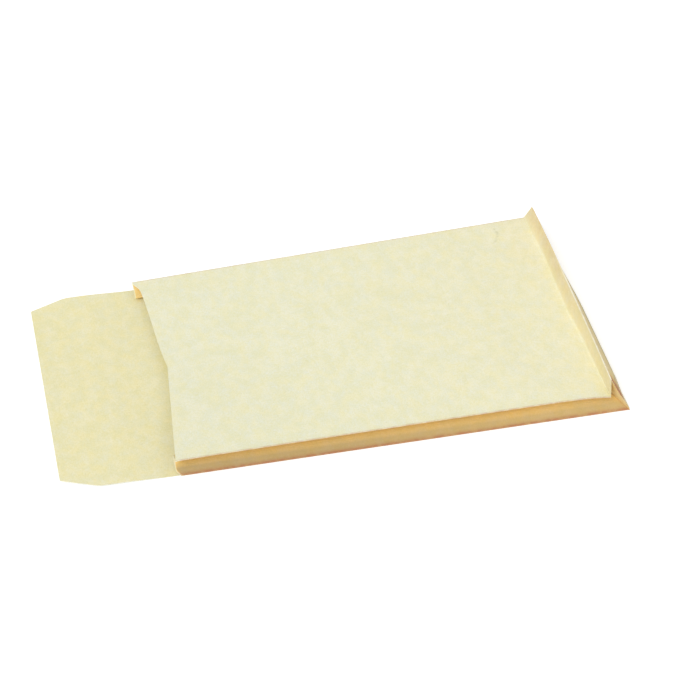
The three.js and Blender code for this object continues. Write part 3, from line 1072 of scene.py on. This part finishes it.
def in_slot_order(mesh):
    """Numbers the faces' slots in the order of PAPERS: the tree's own list starts with an empty slot."""
    number = [PAPERS.index(material) if material else 0 for material in mesh.materials]
    for face in mesh.polygons:
        face.material_index = number[face.material_index]
    return mesh


def finished_sheet():
    bm = bmesh.new()
    for source in [folded] + laps:
        bm.from_mesh(in_slot_order(thickened(source)))
    open_edges = sum(1 for edge in bm.edges if len(edge.link_faces) != 2)
    print("thick sheet: faces", len(bm.faces), "open edges", open_edges)
    print("volume, cm3:", round(bm.calc_volume() * 1e6, 2))
    joined = bpy.data.meshes.new("manila_sheet")
    bm.to_mesh(joined)
    bm.free()
    for material in PAPERS:
        joined.materials.append(material)
    for lap in laps:
        bpy.data.objects.remove(lap)
    folded.data = joined
    joined.polygons.foreach_set("use_smooth", [True] * len(joined.polygons))
    joined.set_sharp_from_angle(angle=SHARP_ANGLE)
    return joined


paper_mesh = finished_sheet()
in_slots = np.bincount([face.material_index for face in paper_mesh.polygons])
print("faces in each slot:", dict(zip([m.name for m in paper_mesh.materials], in_slots.tolist())))
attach(folded, "root")
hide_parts("folded_sheet")

# %% [markdown]
# Floor
#
# The envelope lies on a plain white table. The floor is a real surface that takes a soft shadow. Only
# the camera and mirrors see it a little brighter, through Light Path, which gives a white background
# without more light on the paper.

# %% White floor
FLOOR_COLOUR = (0.86, 0.86, 0.86, 1)
FLOOR_GLOW = 0.36
FLOOR_HALF = 6.0
FLOOR_DROP = 0.0002


def seen_directly(tree):
    path = add_node(tree, "ShaderNodeLightPath").outputs
    seen = calculate(tree, "MAXIMUM", path["Is Camera Ray"], path["Is Glossy Ray"])
    return calculate(tree, "MAXIMUM", seen, path["Is Transmission Ray"])


def make_floor():
    bm = bmesh.new()
    bmesh.ops.create_grid(bm, x_segments=1, y_segments=1, size=FLOOR_HALF)
    bmesh.ops.translate(bm, verts=bm.verts, vec=(0, 0, sheet_low[2] - FLOOR_DROP))
    mesh = bpy.data.meshes.new("floor")
    bm.to_mesh(mesh)
    bm.free()
    made = bpy.data.objects.new("floor", mesh)
    bpy.context.scene.collection.objects.link(made)
    material = bpy.data.materials.new("white_table")
    material.use_nodes = True
    tree = material.node_tree
    shader = tree.nodes["Principled BSDF"]
    shader.inputs["Base Color"].default_value = FLOOR_COLOUR
    shader.inputs["Roughness"].default_value = 0.9
    shader.inputs["Specular IOR Level"].default_value = 0.0
    shader.inputs["Emission Color"].default_value = (1, 1, 1, 1)
    glow = calculate(tree, "MULTIPLY", seen_directly(tree), FLOOR_GLOW)
    feed(tree, shader.inputs["Emission Strength"], glow)
    mesh.materials.append(material)


make_floor()

# %% [markdown]
# Light and camera
#
# A white surround gives half of the light. One large soft lamp near the camera, to its left, reaches into
# the gusset and onto the standing strip. A weak one hangs over the folded bottom, so the paper is a little
# brighter towards that end. The camera's place was worked out from the straight edges in the picture.

# %% Surround and lamps
SURROUND = 0.60
KEY_STRENGTH = 1.9
KEY_FROM = Vector((-0.46, -0.62, 0.63))
KEY_SPREAD = math.radians(35)
TOP_POWER = 0.25
TOP_FROM = Vector((0.35, -0.25, 0.60))
TOP_SIZE = 0.3


def add_lamp(name, kind, energy, direction):
    data = bpy.data.lights.new(name, kind)
    data.energy = energy
    lamp = bpy.data.objects.new(name, data)
    lamp.rotation_euler = direction.to_track_quat("Z", "Y").to_euler()
    bpy.context.scene.collection.objects.link(lamp)
    return lamp


def light_the_scene():
    world = bpy.data.worlds.new("plain_surround")
    bpy.context.scene.world = world
    world.use_nodes = True
    tree = world.node_tree
    background = tree.nodes["Background"]
    background.inputs["Color"].default_value = (1, 1, 1, 1)
    strength = between(tree, seen_directly(tree), 0.0, 1.0, SURROUND, 1.0)
    feed(tree, background.inputs["Strength"], strength)
    add_lamp("soft_key", "SUN", KEY_STRENGTH, KEY_FROM).data.angle = KEY_SPREAD
    top = add_lamp("soft_top", "AREA", TOP_POWER, Vector((0, 0, 1)))
    top.data.size = TOP_SIZE
    top.location = TOP_FROM


light_the_scene()

# %% Camera
AIM = Vector((0.026674, 0.000845, 0.0))
DISTANCE = 1.891028
AZIMUTH, ELEVATION, ROLL = (math.radians(a) for a in (-11.529, 36.988, -1.0))
FOCAL_PIXELS = 2221.786
IMAGE_PIXELS = 700


def make_camera():
    back = Vector((
        math.sin(AZIMUTH) * math.cos(ELEVATION),
        -math.cos(AZIMUTH) * math.cos(ELEVATION),
        math.sin(ELEVATION),
    ))
    right = Vector((0, 0, 1)).cross(back).normalized()
    up = back.cross(right)
    turned_right = right * math.cos(ROLL) + up * math.sin(ROLL)
    turned_up = up * math.cos(ROLL) - right * math.sin(ROLL)
    data = bpy.data.cameras.new("photo_view")
    data.sensor_width = 36.0
    data.lens = FOCAL_PIXELS * data.sensor_width / IMAGE_PIXELS
    data.clip_end = 20.0
    made = bpy.data.objects.new("photo_view", data)
    axes = Matrix((turned_right, turned_up, back)).transposed()
    made.matrix_world = Matrix.Translation(AIM + back * DISTANCE) @ axes.to_4x4()
    bpy.context.scene.collection.objects.link(made)
    bpy.context.scene.camera = made
    return made


camera = make_camera()
bpy.context.scene.view_settings.view_transform = "Standard"
print("lens, mm:", round(camera.data.lens, 2))
